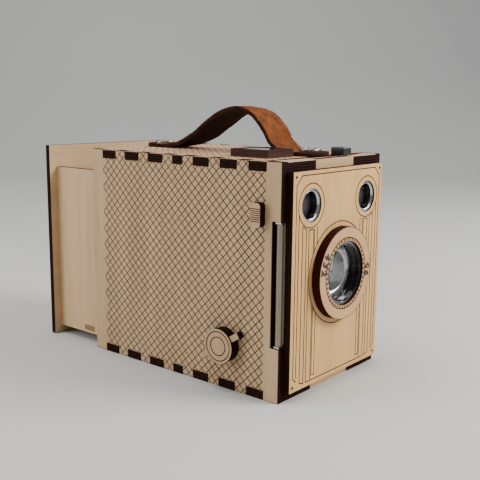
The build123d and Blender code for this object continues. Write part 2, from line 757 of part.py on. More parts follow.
with BuildPart() as drawer_right_wall:
    with BuildSketch(Plane.YZ.offset(drawer_in)):
        with Locations(((drawer_front + drawer_back_front) / 2, (wall_low + drawer_right_height) / 2)):
            Rectangle(drawer_length, drawer_right_height - wall_low)
        for tab_y in drawer_tabs:
            with Locations((tab_y, drawer_floor_low + drawer_ply / 2)):
                Rectangle(drawer_tab_width, drawer_ply, mode=Mode.SUBTRACT)
    extrude(amount=drawer_ply)
drawer_right_wall.part.label = "drawer_right_wall"
export_step(drawer_right_wall.part, "parts/drawer_right_wall.step")

with BuildPart() as drawer_floor:
    with BuildSketch(Plane.XY.offset(drawer_floor_low)):
        with Locations((0, (drawer_front + drawer_back_front) / 2)):
            Rectangle(2 * drawer_in, drawer_length)
        for tab_y in drawer_tabs:
            with Locations((0, tab_y)):
                Rectangle(2 * drawer_out, drawer_tab_width)
    extrude(amount=drawer_ply)
drawer_floor.part.label = "drawer_floor"
export_step(drawer_floor.part, "parts/drawer_floor.step")

with BuildPart() as drawer_back:
    with BuildSketch(Plane.XZ.offset(-(drawer_back_front + drawer_ply))):
        with Locations((0, (body_height + drawer_gap) / 2)):
            Rectangle(body_width, body_height - drawer_gap)
    extrude(amount=drawer_ply)
drawer_back.part.label = "drawer_back"
export_step(drawer_back.part, "parts/drawer_back.step")

# ---- Film cartridge and its ledges --------------------------------------------------
cartridge_low = notch_middle - cartridge_height / 2
cartridge_rear = drawer_back_front - 0.6
cartridge_front = cartridge_rear - cartridge_length
cartridge_y = (cartridge_front + cartridge_rear) / 2
cartridge_z = cartridge_low + cartridge_height / 2
cartridge_face = -drawer_in + cartridge_thickness
with BuildPart() as film_cartridge:
    with BuildSketch(Plane.YZ.offset(-drawer_in)):
        with Locations((cartridge_y, cartridge_z)):
            RectangleRounded(cartridge_length, cartridge_height, 2)
    extrude(amount=cartridge_thickness)
    with BuildSketch(Plane.YZ.offset(cartridge_face)):
        with Locations((cartridge_y, cartridge_z)):
            Rectangle(frame_width, frame_height)
    extrude(amount=-(cartridge_thickness - cartridge_wall), mode=Mode.SUBTRACT)
    with BuildSketch(Plane.XZ.offset(-cartridge_front)):
        with Locations((-drawer_in + 2.4, cartridge_z)):
            Rectangle(1.0, frame_height + 10)
    extrude(amount=-8, mode=Mode.SUBTRACT)
film_cartridge.part.label = "film_cartridge"
export_step(film_cartridge.part, "parts/film_cartridge.step")

with BuildPart() as film_stack:
    with BuildSketch(Plane.YZ.offset(-drawer_in + cartridge_wall)):
        with Locations((cartridge_y, cartridge_z)):
            Rectangle(frame_width, frame_height)
    extrude(amount=cartridge_thickness - cartridge_wall - 1.6)
film_stack.part.label = "film_stack"
export_step(film_stack.part, "parts/film_stack.step")

ledge_depth = cartridge_thickness - 2
ledge_end = 10.0           # ledges shorter than the cartridge
ledge_cut = 32.0           # the upper one also stops behind the finder's mirror
with BuildPart() as lower_film_ledge:
    with BuildSketch(Plane.XY.offset(cartridge_low - drawer_ply)):
        with Locations((-drawer_in + ledge_depth / 2, cartridge_y)):
            Rectangle(ledge_depth, cartridge_length - ledge_end)
    extrude(amount=drawer_ply)
lower_film_ledge.part.label = "lower_film_ledge"
export_step(lower_film_ledge.part, "parts/lower_film_ledge.step")

with BuildPart() as upper_film_ledge:
    with BuildSketch(Plane.XY.offset(cartridge_low + cartridge_height)):
        with Locations((-drawer_in + ledge_depth / 2, cartridge_y + ledge_cut / 2)):
            Rectangle(ledge_depth, cartridge_length - ledge_end - ledge_cut)
    extrude(amount=drawer_ply)
upper_film_ledge.part.label = "upper_film_ledge"
export_step(upper_film_ledge.part, "parts/upper_film_ledge.step")

# ---- Light path: film gate and 45 degree mirror, hung from the top panel -----------------
gate_gap = 1.4             # from the cartridge's face to the gate
gate_border = 6.0          # round the picture area
gate_left = cartridge_face + gate_gap
gate_right = gate_left + mirror_board
gate_y = cartridge_y - drawer_open
gate_length = frame_width + 2 * gate_border
gate_low = cartridge_z - frame_height / 2 - gate_border
with BuildPart() as film_gate:
    with BuildSketch(Plane.YZ.offset(gate_left)):
        with Locations((gate_y, (gate_low + plate_high) / 2)):
            Rectangle(gate_length, plate_high - gate_low)
        with Locations((gate_y, cartridge_z)):
            Rectangle(frame_width, frame_height, mode=Mode.SUBTRACT)
    extrude(amount=mirror_board)
film_gate.part.label = "film_gate"
export_step(film_gate.part, "parts/film_gate.step")

mirror_gap = 2.4           # from the gate to the mirror's near edge
mirror_setback = 2.0       # mirror's middle behind the picture's
mirror_reach = mirror_length / 2 * cos(radians(mirror_slope))
mirror_middle = (gate_right + mirror_gap + mirror_reach, gate_y + mirror_setback)
mirror_plane = Plane(
    origin=(mirror_middle[0], mirror_middle[1], lens_height), x_dir=(0, 0, 1), z_dir=(-1, -1, 0)
)
with BuildPart() as main_mirror:
    with BuildSketch(mirror_plane):
        Rectangle(mirror_height, mirror_length)
    extrude(amount=-mirror_thickness)
main_mirror.part.label = "main_mirror"
export_step(main_mirror.part, "parts/main_mirror.step")

board_low = lens_height - mirror_height / 2 - mirror_overhang
with BuildPart() as mirror_backing:
    with BuildSketch(mirror_plane.offset(-mirror_thickness)):
        with Locations(((board_low + plate_high) / 2 - lens_height, 0)):
            Rectangle(plate_high - board_low, mirror_length - 2 * mirror_overhang)
    extrude(amount=-mirror_board)
mirror_backing.part.label = "mirror_backing"
export_step(mirror_backing.part, "parts/mirror_backing.step")

# ---- Top button -----------------------------------------------------------------------
flange_top = body_height - ply - 0.3
flange_thickness = 2.0
bracket_thickness = 0.8
button_spring_radius = 2.6
button_spring_wire = 0.6
bracket_top = flange_top - flange_thickness - button_travel - 0.8
with BuildPart() as top_button:
    with BuildSketch(Plane.XY.offset(flange_top)):
        with Locations((button_x, button_y)):
            RectangleRounded(button_width, button_length, 0.8)
    extrude(amount=body_height + button_height - flange_top)
    fillet(top_button.faces().sort_by(Axis.Z)[-1].edges(), 0.5)
    with BuildSketch(Plane.XY.offset(flange_top - flange_thickness)):
        with Locations((button_x, button_y)):
            Rectangle(button_width + 2, button_length)
    extrude(amount=flange_thickness)
top_button.part.label = "top_button"
export_step(top_button.part, "parts/top_button.step")

bracket_reach = button_y + button_length / 2 - board_back
with BuildPart() as button_bracket:
    with BuildSketch(Plane.XY.offset(bracket_top - bracket_thickness)):
        with Locations((button_x, board_back + bracket_reach / 2)):
            Rectangle(button_width + 6, bracket_reach)
    extrude(amount=bracket_thickness)
button_bracket.part.label = "button_bracket"
export_step(button_bracket.part, "parts/button_bracket.step")

with BuildPart() as button_spring:
    with BuildSketch(Plane.XY.offset(bracket_top)):
        with Locations((button_x, button_y)):
            Circle(button_spring_radius)
            Circle(button_spring_radius - button_spring_wire, mode=Mode.SUBTRACT)
    extrude(amount=flange_top - flange_thickness - bracket_top)
button_spring.part.label = "button_spring"
export_step(button_spring.part, "parts/button_spring.step")

# ---- Carrying strap --------------------------------------------------------------------
# The arch's middle line: share of the way from foot to foot, and height above the top.
arch_shape = [
    (0.0, strap_thickness / 2),
    (0.094, 5.3),
    (0.138, 10.2),
    (0.183, 14.6),
    (0.255, 19.0),
    (0.368, 21.2),
    (0.490, 19.0),
    (0.627, 12.9),
    (0.695, 9.2),
    (0.764, 6.2),
    (0.880, 2.6),
    (1.0, strap_thickness / 2),
]
arch_front = strap_front + strap_lift
arch_rear = strap_rear - strap_lift
strap_arch = [
    (arch_front + share * (arch_rear - arch_front), body_height + height)
    for share, height in arch_shape
]


def strap_face(distance):
    """The arch's middle line moved out by a distance, square to itself."""
    moved = []
    last = len(strap_arch) - 1
    for index, (y, z) in enumerate(strap_arch):
        before = strap_arch[max(index - 1, 0)]
        after = strap_arch[min(index + 1, last)]
        run = Vector(after[0] - before[0], after[1] - before[1]).normalized()
        if index in (0, last):
            run = Vector(1, 0)
        moved.append((y - run.Y * distance, z + run.X * distance))
    return moved


strap_tip = strap_front - strap_width / 2
strap_end = strap_rear + strap_width / 2
with BuildPart() as carrying_strap:
    with BuildSketch(Plane.YZ.offset(strap_x - strap_width / 2)):
        with BuildLine():
            upper = Polyline(*strap_face(strap_thickness / 2))
            lower = Polyline(*strap_face(-strap_thickness / 2))
            Line(upper @ 0, lower @ 0)
            Line(upper @ 1, lower @ 1)
        make_face()
        for tip, foot in ((strap_tip, strap_arch[0][0]), (strap_end, strap_arch[-1][0])):
            with Locations(((tip + foot) / 2, body_height + strap_thickness / 2)):
                Rectangle(abs(tip - foot), strap_thickness)
    extrude(amount=strap_width)
    with BuildSketch(Plane.XY.offset(body_height)):
        with Locations((strap_x, (strap_front + strap_rear) / 2)):
            SlotCenterToCenter(strap_rear - strap_front, strap_width, rotation=90)
        with Locations((strap_x, strap_front), (strap_x, strap_rear)):
            Circle(rivet_shank_radius, mode=Mode.SUBTRACT)
    extrude(amount=2 * strap_width, mode=Mode.INTERSECT)
carrying_strap.part.label = "carrying_strap"
export_step(carrying_strap.part, "parts/carrying_strap.step")

for y, word in ((strap_front, "front"), (strap_rear, "rear")):
    with BuildPart() as strap_ring:
        with BuildSketch(Plane.XY.offset(strap_top)):
            with Locations((strap_x, y)):
                Circle(rivet_ring_radius)
                Circle(rivet_ring_hole, mode=Mode.SUBTRACT)
        extrude(amount=rivet_ring_height)
        fillet(strap_ring.faces().sort_by(Axis.Z)[-1].edges(), 0.55)
    strap_ring.part.label = word + "_strap_ring"
    export_step(strap_ring.part, "parts/" + word + "_strap_ring.step")
    with BuildPart() as strap_rivet:
        with BuildSketch(Plane.XY.offset(body_height - ply - 1.0)):
            with Locations((strap_x, y)):
                Circle(rivet_head_radius + 1.2)
        extrude(amount=1.0)
        with BuildSketch(Plane.XY.offset(body_height - ply)):
            with Locations((strap_x, y)):
                Circle(rivet_shank_radius)
        extrude(amount=ply + strap_thickness)
        with BuildSketch(Plane.XY.offset(strap_top)):
            with Locations((strap_x, y)):
                Circle(rivet_head_radius)
        extrude(amount=1.0)
        fillet(strap_rivet.faces().sort_by(Axis.Z)[-1].edges(), 0.6)
    strap_rivet.part.label = word + "_strap_rivet"
    export_step(strap_rivet.part, "parts/" + word + "_strap_rivet.step")
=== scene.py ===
import math
import random

import bmesh
import bpy
from mathutils import Matrix, Vector, noise


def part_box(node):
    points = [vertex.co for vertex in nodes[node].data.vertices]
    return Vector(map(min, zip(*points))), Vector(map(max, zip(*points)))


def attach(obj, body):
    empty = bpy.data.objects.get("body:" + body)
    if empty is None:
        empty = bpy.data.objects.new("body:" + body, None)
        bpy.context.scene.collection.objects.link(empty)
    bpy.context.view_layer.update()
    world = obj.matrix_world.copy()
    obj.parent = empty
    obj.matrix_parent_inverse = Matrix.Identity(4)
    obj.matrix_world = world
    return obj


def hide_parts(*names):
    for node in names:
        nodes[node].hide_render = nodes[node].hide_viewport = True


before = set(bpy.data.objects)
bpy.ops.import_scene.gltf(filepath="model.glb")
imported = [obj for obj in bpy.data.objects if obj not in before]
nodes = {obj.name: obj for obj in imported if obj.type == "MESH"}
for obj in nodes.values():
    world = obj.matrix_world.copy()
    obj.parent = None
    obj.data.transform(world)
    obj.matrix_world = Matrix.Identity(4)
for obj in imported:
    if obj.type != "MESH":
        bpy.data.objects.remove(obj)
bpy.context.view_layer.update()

mm = 0.001
scene = bpy.context.scene
axisX = (1.0, 0.0, 0.0)
axisY = (0.0, 1.0, 0.0)
axisZ = (0.0, 0.0, 1.0)
tiny = 1e-6


# small helpers for materials
def newMaterial(name):
    material = bpy.data.materials.new(name)
    material.use_nodes = True
    return material, material.node_tree, material.node_tree.nodes["Principled BSDF"]


def addNode(tree, kind, values=(), **settings):
    node = tree.nodes.new(kind)
    for key, value in settings.items():
        setattr(node, key, value)
    for socket, value in values:
        if isinstance(value, bpy.types.NodeSocket):
            tree.links.new(value, node.inputs[socket])
        else:
            node.inputs[socket].default_value = value
    return node


def mathNode(tree, operation, first, second=0.0):
    node = addNode(tree, "ShaderNodeMath", ((0, first), (1, second)), operation=operation)
    return node.outputs[0]


def dotNode(tree, vector, direction):
    node = addNode(tree, "ShaderNodeVectorMath", ((0, vector), (1, direction)), operation="DOT_PRODUCT")
    return node.outputs["Value"]


def mixColors(tree, amount, first, second, blend="MIX"):
    mixer = addNode(tree, "ShaderNodeMix", ((0, amount), (6, first), (7, second)),
                    data_type="RGBA", blend_type=blend)
    return mixer.outputs[2]


def streaks(tree, vector, scale, detail=4.0, roughness=0.6):
    mapping = addNode(tree, "ShaderNodeMapping", (("Vector", vector), ("Scale", scale)))
    texture = addNode(tree, "ShaderNodeTexNoise", (
        ("Vector", mapping.outputs[0]), ("Scale", 1.0), ("Detail", detail), ("Roughness", roughness)))
    return texture.outputs["Fac"]


# a value between low and high becomes one between newLow and newHigh, held at both ends
def remap(tree, value, low, high, newLow=0.0, newHigh=1.0):
    ranged = addNode(tree, "ShaderNodeMapRange", (
        ("Value", value), ("From Min", low), ("From Max", high), ("To Min", newLow), ("To Max", newHigh)))
    return ranged.outputs[0]


def addBump(tree, shader, height, strength, distance):
    bump = addNode(tree, "ShaderNodeBump", (
        ("Height", height), ("Strength", strength), ("Distance", distance)))
    tree.links.new(bump.outputs[0], shader.inputs["Normal"])


plyStyle = {
    "light": (0.68, 0.475, 0.275, 1),      # linear colours
    "dark": (0.57, 0.380, 0.205, 1),
    "fleck": (0.40, 0.235, 0.11, 1),
    "groove": (0.034, 0.016, 0.008, 1),
    "burnt": (0.012, 0.0045, 0.0035, 1),
    "burntPly": (0.055, 0.020, 0.014, 1),
    "rimTint": (1.9, 1.0, 1.0, 1),
    "fineGrain": (1500.0, 55.0),           # noise scale across and along the grain
    "broadGrain": (130.0, 9.0),
    "speckShare": 0.6,                     # of the fine grain's scale
    "sootScale": 700.0,
    "bandRange": (0.3, 0.72),              # ranges for remap, here and below
    "fineRange": (0.45, 0.9, 0.0, 0.55),
    "speckRange": (0.66, 0.75, 0.0, 0.35),
    "layerRange": (-0.2, 0.9),
    "sootRange": (0.35, 0.7, 0.15, 1.0),
    "roughnessRange": (0.2, 0.9, 0.5, 0.68),
    "plyPitch": 1.15 * mm,                 # veneers in a cut edge
    "grooveStart": 0.03 * mm,
    "grooveDepth": 0.22 * mm,
    "grooveEnd": 0.8 * mm,
    "rimLine": (0.5 * mm, 0.1 * mm),       # from the rim, where the dark line starts and is full
    "edgeFacing": 0.35,                    # surfaces turned further from the sheet's face are cut edges
    "faceShine": 0.22,
    "edgeShine": 0.04,
    "edgeRoughness": 0.8,
    "relief": 0.05 * mm,
}


def grainScale(scales, grain):
    acrossScale, alongScale = scales
    return [acrossScale if abs(part) < 0.5 else alongScale for part in grain]


# sheet is the normal of the plywood's face, grain the veneer's direction, face the height of the
# engraved face along the normal, and rim the centre and radius of a disc with a dark border line
def plyMaterial(name, sheet, grain, face=None, tint=(1, 1, 1, 1), edgeLight=0.0, grooveLight=0.0, rim=None):
    material, tree, shader = newMaterial(name)
    coordinates = addNode(tree, "ShaderNodeTexCoord")
    place = coordinates.outputs["Object"]
    across = grainScale(plyStyle["fineGrain"], grain)
    fine = streaks(tree, place, across)
    bands = streaks(tree, place, grainScale(plyStyle["broadGrain"], grain), 3.0)
    specks = streaks(tree, place, [part * plyStyle["speckShare"] for part in across], 2.0, 0.5)
    color = mixColors(tree, remap(tree, bands, *plyStyle["bandRange"]), plyStyle["light"], plyStyle["dark"])
    color = mixColors(tree, remap(tree, fine, *plyStyle["fineRange"]), color, plyStyle["fleck"])
    color = mixColors(tree, remap(tree, specks, *plyStyle["speckRange"]), color, plyStyle["fleck"])
    color = mixColors(tree, 1.0, color, tint, "MULTIPLY")
    along = dotNode(tree, place, sheet)
    if face is not None:
        # engraved lines are browned by how deep they lie under the face
        depth = mathNode(tree, "SUBTRACT", face, along)
        groove = remap(tree, depth, plyStyle["grooveStart"], plyStyle["grooveDepth"])
        shallow = mathNode(tree, "LESS_THAN", depth, plyStyle["grooveEnd"])
        line = mathNode(tree, "MULTIPLY", mathNode(tree, "MULTIPLY", groove, shallow), 1.0 - grooveLight)
        color = mixColors(tree, line, color, plyStyle["groove"])
    if rim is not None:
        # a thin dark line is drawn round the face
        centre, radius = rim
        lineStart, lineFull = plyStyle["rimLine"]
        flat = addNode(tree, "ShaderNodeVectorMath", ((0, place), (1, (1, 0, 1))), operation="MULTIPLY")
        apart = addNode(tree, "ShaderNodeVectorMath", ((0, flat.outputs[0]), (1, centre)),
                        operation="DISTANCE")
        line = remap(tree, apart.outputs["Value"], radius - lineStart, radius - lineFull)
        color = mixColors(tree, line, color, plyStyle["groove"])
    facing = mathNode(tree, "ABSOLUTE", dotNode(tree, coordinates.outputs["Normal"], sheet))
    edge = mathNode(tree, "LESS_THAN", facing, plyStyle["edgeFacing"])
    wave = mathNode(tree, "SINE", mathNode(tree, "MULTIPLY", along, 2 * math.pi / plyStyle["plyPitch"]))
    soot = streaks(tree, place, [plyStyle["sootScale"]] * 3, 5.0)
    veneers = remap(tree, wave, *plyStyle["layerRange"])
    layers = mathNode(tree, "MULTIPLY", veneers, remap(tree, soot, *plyStyle["sootRange"]))
    burnt = mixColors(tree, layers, plyStyle["burnt"], plyStyle["burntPly"])
    if edgeLight:
        burnt = mixColors(tree, edgeLight, burnt, plyStyle["fleck"])
    if rim is not None:
        burnt = mixColors(tree, 1.0, burnt, plyStyle["rimTint"], "MULTIPLY")
    tree.links.new(mixColors(tree, edge, color, burnt), shader.inputs["Base Color"])
    edgeRoughness = mathNode(tree, "MULTIPLY", edge, plyStyle["edgeRoughness"])
    faceRoughness = remap(tree, fine, *plyStyle["roughnessRange"])
    roughness = mathNode(tree, "MAXIMUM", faceRoughness, edgeRoughness)
    tree.links.new(roughness, shader.inputs["Roughness"])
    shine = remap(tree, edge, 0.0, 1.0, plyStyle["faceShine"], plyStyle["edgeShine"])
    tree.links.new(shine, shader.inputs["Specular IOR Level"])
    addBump(tree, shader, mathNode(tree, "ADD", fine, soot), 0.25, plyStyle["relief"])
    return material


noiseStyle = {
    "fineShare": 6,                        # of the cloud's scale
    "cloudRange": (0.3, 0.7),
    "fineRange": (0.25, 0.75),
    "relief": 0.02 * mm,
}


# low and high are the two colours that the noise blends, and roughness holds its two ends
def noisyMaterial(name, low, high, scale, roughness, metallic=0.0, bump=0.1, coat=0.0, shine=0.5):
    material, tree, shader = newMaterial(name)
    place = addNode(tree, "ShaderNodeTexCoord").outputs["Object"]
    cloud = streaks(tree, place, scale, 4.0)
    fine = streaks(tree, place, [part * noiseStyle["fineShare"] for part in scale], 3.0)
    clouded = mixColors(tree, remap(tree, cloud, *noiseStyle["cloudRange"]), low, high)
    tree.links.new(clouded, shader.inputs["Base Color"])
    tree.links.new(remap(tree, fine, *noiseStyle["fineRange"], *roughness), shader.inputs["Roughness"])
    shader.inputs["Metallic"].default_value = metallic
    shader.inputs["Coat Weight"].default_value = coat
    shader.inputs["Specular IOR Level"].default_value = shine
    addBump(tree, shader, fine, bump, noiseStyle["relief"])
    return material


glassStyle = {
    "smearScale": 180.0,
    "smearRange": (0.4, 0.8),
    "smearRoughness": 0.05,
    "smearShade": 0.9,
    "ior": 1.52,
}


def glassMaterial(name, color, roughness):
    material, tree, shader = newMaterial(name)
    place = addNode(tree, "ShaderNodeTexCoord").outputs["Object"]
    smear = streaks(tree, place, [glassStyle["smearScale"]] * 3, 3.0)
    roughest = roughness + glassStyle["smearRoughness"]
    smeared = remap(tree, smear, *glassStyle["smearRange"], roughness, roughest)
    tree.links.new(smeared, shader.inputs["Roughness"])
    deeper = [part * glassStyle["smearShade"] for part in color[:3]] + [1.0]
    tree.links.new(mixColors(tree, smear, color, deeper), shader.inputs["Base Color"])
    shader.inputs["Transmission Weight"].default_value = 1.0
    shader.inputs["IOR"].default_value = glassStyle["ior"]
    return material


suedeStyle = {
    "mottleScale": 170.0,
    "mottleRange": (0.32, 0.70),
    "napScale": 1500.0,
    "napRange": (0.45, 0.8, 0.0, 0.6),
    "roughnessRange": (0.2, 0.8, 0.8, 1.0),
    "shine": 0.05,
    "relief": 0.12 * mm,
    "grain": (0.29, 0.090, 0.026, 1),
    "grainDark": (0.060, 0.018, 0.008, 1),
    "flesh": (0.018, 0.0095, 0.009, 1),
    "fleshLight": (0.042, 0.023, 0.021, 1),
    "cut": (0.060, 0.024, 0.012, 1),
    "cutDark": (0.02, 0.008, 0.006, 1),
}


def suedeMaterial(name, light, dark):
    material, tree, shader = newMaterial(name)
    place = addNode(tree, "ShaderNodeTexCoord").outputs["Object"]
    mottle = streaks(tree, place, [suedeStyle["mottleScale"]] * 3, 6.0, 0.7)
    nap = streaks(tree, place, [suedeStyle["napScale"]] * 3, 3.0, 0.7)
    color = mixColors(tree, remap(tree, mottle, *suedeStyle["mottleRange"]), light, dark)
    color = mixColors(tree, remap(tree, nap, *suedeStyle["napRange"]), color, dark)
    tree.links.new(color, shader.inputs["Base Color"])
    tree.links.new(remap(tree, nap, *suedeStyle["roughnessRange"]), shader.inputs["Roughness"])
    shader.inputs["Specular IOR Level"].default_value = suedeStyle["shine"]
    addBump(tree, shader, mathNode(tree, "ADD", mottle, nap), 0.7, suedeStyle["relief"])
    return material


plateFace = -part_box("front_plate")[0].y
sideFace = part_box("right_side_panel")[1].x
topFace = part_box("top_panel")[1].z
ringFace = -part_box("focus_ring")[0].y
keyFace = -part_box("drawer_key")[0].x
slideFace = -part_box("shutter_slide")[0].x

coolTint = (0.96, 0.955, 0.97, 1)
roseTint = (0.93, 0.87, 0.97, 1)
paleTint = (1.19, 1.06, 0.78, 1)
ringTint = (1.00, 0.88, 0.78, 1)
keyTint = (0.84, 0.82, 0.82, 1)
ringLow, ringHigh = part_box("focus_ring")
ringAxis = Vector(((ringLow.x + ringHigh.x) / 2, 0, (ringLow.z + ringHigh.z) / 2))
ringRim = (ringAxis, (ringHigh.x - ringLow.x) / 2)
minusX = (-1.0, 0.0, 0.0)
minusY = (0.0, -1.0, 0.0)
slantSheet = (-math.sqrt(0.5), -math.sqrt(0.5), 0.0)

materials = {
    "leftPly": plyMaterial("leftPly", minusX, axisZ, sideFace, coolTint),
    "rightPly": plyMaterial("rightPly", axisX, axisZ, sideFace, coolTint),
    "topPly": plyMaterial("topPly", axisZ, axisY, topFace, roseTint, 0.0, 0.55),
    "basePly": plyMaterial("basePly", axisZ, axisY),
    "floorPly": plyMaterial("floorPly", axisZ, axisY, None, (1, 1, 1, 1), 0.8),
    "boardPly": plyMaterial("boardPly", minusY, axisX),
    "platePly": plyMaterial("platePly", minusY, axisZ, plateFace, paleTint),
    "ringPly": plyMaterial("ringPly", minusY, axisX, ringFace, ringTint, 0.0, 0.0, ringRim),
    "keyPly": plyMaterial("keyPly", minusX, axisZ, keyFace, keyTint),
    "slidePly": plyMaterial("slidePly", minusX, axisY, slideFace),
    "drawerPly": plyMaterial("drawerPly", minusX, axisZ, None, (1.08, 1.07, 1.08, 1)),
    "slantPly": plyMaterial("slantPly", slantSheet, axisZ),
    "darkPly": noisyMaterial("darkPly", (0.030, 0.013, 0.010, 1), (0.075, 0.034, 0.025, 1),
                             (60.0, 60.0, 1300.0), (0.5, 0.7), 0.0, 0.2, 0.0, 0.12),
    "steel": noisyMaterial("steel", (0.60, 0.57, 0.52, 1), (0.74, 0.71, 0.66, 1),
                           (300.0, 300.0, 25.0), (0.16, 0.34), 1.0),
    "rollerSteel": noisyMaterial("rollerSteel", (0.26, 0.205, 0.145, 1), (0.35, 0.285, 0.205, 1),
                                 (500.0, 500.0, 25.0), (0.35, 0.5), 0.5),
    "ringSteel": noisyMaterial("ringSteel", (0.20, 0.19, 0.17, 1), (0.42, 0.40, 0.36, 1),
                               (400.0, 400.0, 400.0), (0.2, 0.4), 1.0),
    "tubeSteel": noisyMaterial("tubeSteel", (0.24, 0.23, 0.25, 1), (0.32, 0.31, 0.33, 1),
                               (90.0, 90.0, 90.0), (0.10, 0.16), 1.0, 0.0),
    "chrome": noisyMaterial("chrome", (0.50, 0.50, 0.51, 1), (0.62, 0.61, 0.62, 1),
                            (60.0, 60.0, 60.0), (0.10, 0.16), 1.0, 0.0),
    "black": noisyMaterial("black", (0.010, 0.010, 0.011, 1), (0.022, 0.021, 0.022, 1),
                           (500.0, 500.0, 500.0), (0.28, 0.46)),
    "blackGloss": noisyMaterial("blackGloss", (0.012, 0.012, 0.014, 1), (0.028, 0.028, 0.030, 1),
                                (300.0, 300.0, 300.0), (0.1, 0.22), 0.0, 0.05, 0.6),
    "scorch": noisyMaterial("scorch", (0.06, 0.024, 0.012, 1), (0.12, 0.055, 0.03, 1),
                            (900.0, 900.0, 900.0), (0.6, 0.8)),
    "ink": noisyMaterial("ink", (0.012, 0.006, 0.005, 1), (0.04, 0.02, 0.014, 1),
                         (900.0, 900.0, 900.0), (0.6, 0.8)),
    "glass": glassMaterial("glass", (0.93, 0.95, 0.97, 1), 0.01),
    # painted shade: the finder lenses are opaque and near black, in place of the dim finder seen through
    # clear glass
    "finderGlassPaintedShade": noisyMaterial("finderGlassPaintedShade", (0.034, 0.029, 0.038, 1), (0.042, 0.036, 0.046, 1),
                                 (90.0, 90.0, 90.0), (0.30, 0.36), 0.0, 0.0, 0.0, 0.3),
    "smokeGlass": glassMaterial("smokeGlass", (0.60, 0.58, 0.60, 1), 0.02),
    "mirror": noisyMaterial("mirror", (0.86, 0.87, 0.88, 1), (0.92, 0.92, 0.92, 1),
                            (60.0, 60.0, 60.0), (0.015, 0.05), 1.0, 0.0),
    "film": noisyMaterial("film", (0.70, 0.71, 0.67, 1), (0.80, 0.80, 0.77, 1),
                          (90.0, 90.0, 90.0), (0.1, 0.25)),
    "suedeFace": suedeMaterial("suedeFace", suedeStyle["grain"], suedeStyle["grainDark"]),
    "suedeFlesh": suedeMaterial("suedeFlesh", suedeStyle["fleshLight"], suedeStyle["flesh"]),
    "suedeCut": suedeMaterial("suedeCut", suedeStyle["cut"], suedeStyle["cutDark"]),
}

finishes = {
    "floorPly": ("drawer_floor",),
    "basePly": ("bottom_panel", "lower_film_ledge", "upper_film_ledge", "right_finder_shelf"),
    "boardPly": ("front_board", "drawer_back"),
    "platePly": ("front_plate",),
    "ringPly": ("focus_ring",),
    "keyPly": ("drawer_key", "key_bar"),
    "slidePly": ("shutter_slide",),
    "drawerPly": ("drawer_left_wall", "drawer_right_wall", "film_gate", "left_finder_cheek"),
    "slantPly": ("mirror_backing",),
    "darkPly": ("top_finder_frame", "side_finder_frame"),
    "steel": ("front_plate_pins", "shutter_pivot", "shutter_spring",
              "lower_roller_bearing", "upper_roller_bearing",
              "key_shaft", "key_cam", "button_bracket", "button_spring",
              "front_strap_rivet", "rear_strap_rivet"),
    "rollerSteel": ("outer_roller", "inner_roller"),
    "ringSteel": ("front_strap_ring", "rear_strap_ring"),
    "tubeSteel": ("left_finder_tube", "right_finder_tube", "lens_retaining_ring"),
    "black": ("top_button", "film_cartridge", "shutter_plate", "shutter_blade"),
    "blackGloss": ("lens_barrel",),
    "glass": ("front_lens",),
    "finderGlassPaintedShade": ("left_finder_lens", "right_finder_lens"),
    "smokeGlass": ("top_finder_glass", "side_finder_glass"),
    "mirror": ("left_finder_mirror", "right_finder_mirror", "main_mirror"),
    "film": ("film_stack",),
}
for finish, names in finishes.items():
    for name in names:
        if not nodes[name].material_slots:
            nodes[name].data.materials.append(materials[finish])
        for holder in nodes[name].material_slots:
            holder.material = materials[finish]
print("finishes on the solid parts")


def addPiece(name, bm, finishNames, body, slotName, *replaced):
    mesh = bpy.data.meshes.new(name)
    bm.to_mesh(mesh)
    bm.free()
    piece = bpy.data.objects.new(name, mesh)
    scene.collection.objects.link(piece)
    for finish in finishNames:
        mesh.materials.append(materials[finish])
    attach(piece, body)
    if replaced:
        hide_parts(*replaced)
    return piece


# engraved panels: a sheet is cut along the lattice, and each cell stands up from the line's floor
latticeStyle = {
    "pitch": 4.27 * mm,
    "start": 8.6 * mm,         # plain strip at each end
    "lowest": 8.16 * mm,       # height of a tip in the first column
    "lineHalf": 0.33 * mm,
    "lineDepth": 0.30 * mm,
    "leastCell": 0.9 * mm * mm,
}
fingerStyle = {"margin": 8.2 * mm, "length": 9.5 * mm, "gap": 6.9 * mm, "leastMiddle": 3.0 * mm}


def fingerSpans(low, high):
    length = high - low
    pitch = fingerStyle["length"] + fingerStyle["gap"]
    eachSide = int((length / 2 - fingerStyle["margin"] - fingerStyle["leastMiddle"] / 2) // pitch)
    spans = []
    for index in range(eachSide):
        start = low + fingerStyle["margin"] + index * pitch
        spans.append((start, start + fingerStyle["length"]))
    first = low + fingerStyle["margin"] + eachSide * pitch
    middle = [(first, low + high - first)]
    mirrored = [(low + high - end, low + high - start) for start, end in reversed(spans)]
    return spans + middle + mirrored


def spansBetween(spans, low, high):
    borders = [low] + [place for span in spans for place in span] + [high]
    return list(zip(borders[0::2], borders[1::2]))


def cutAcross(bm, faces, point, direction):
    picked = set(faces)
    for face in faces:
        picked.update(face.edges)
        picked.update(face.verts)
    bmesh.ops.bisect_plane(bm, geom=list(picked), dist=tiny / 10, plane_co=point, plane_no=direction)


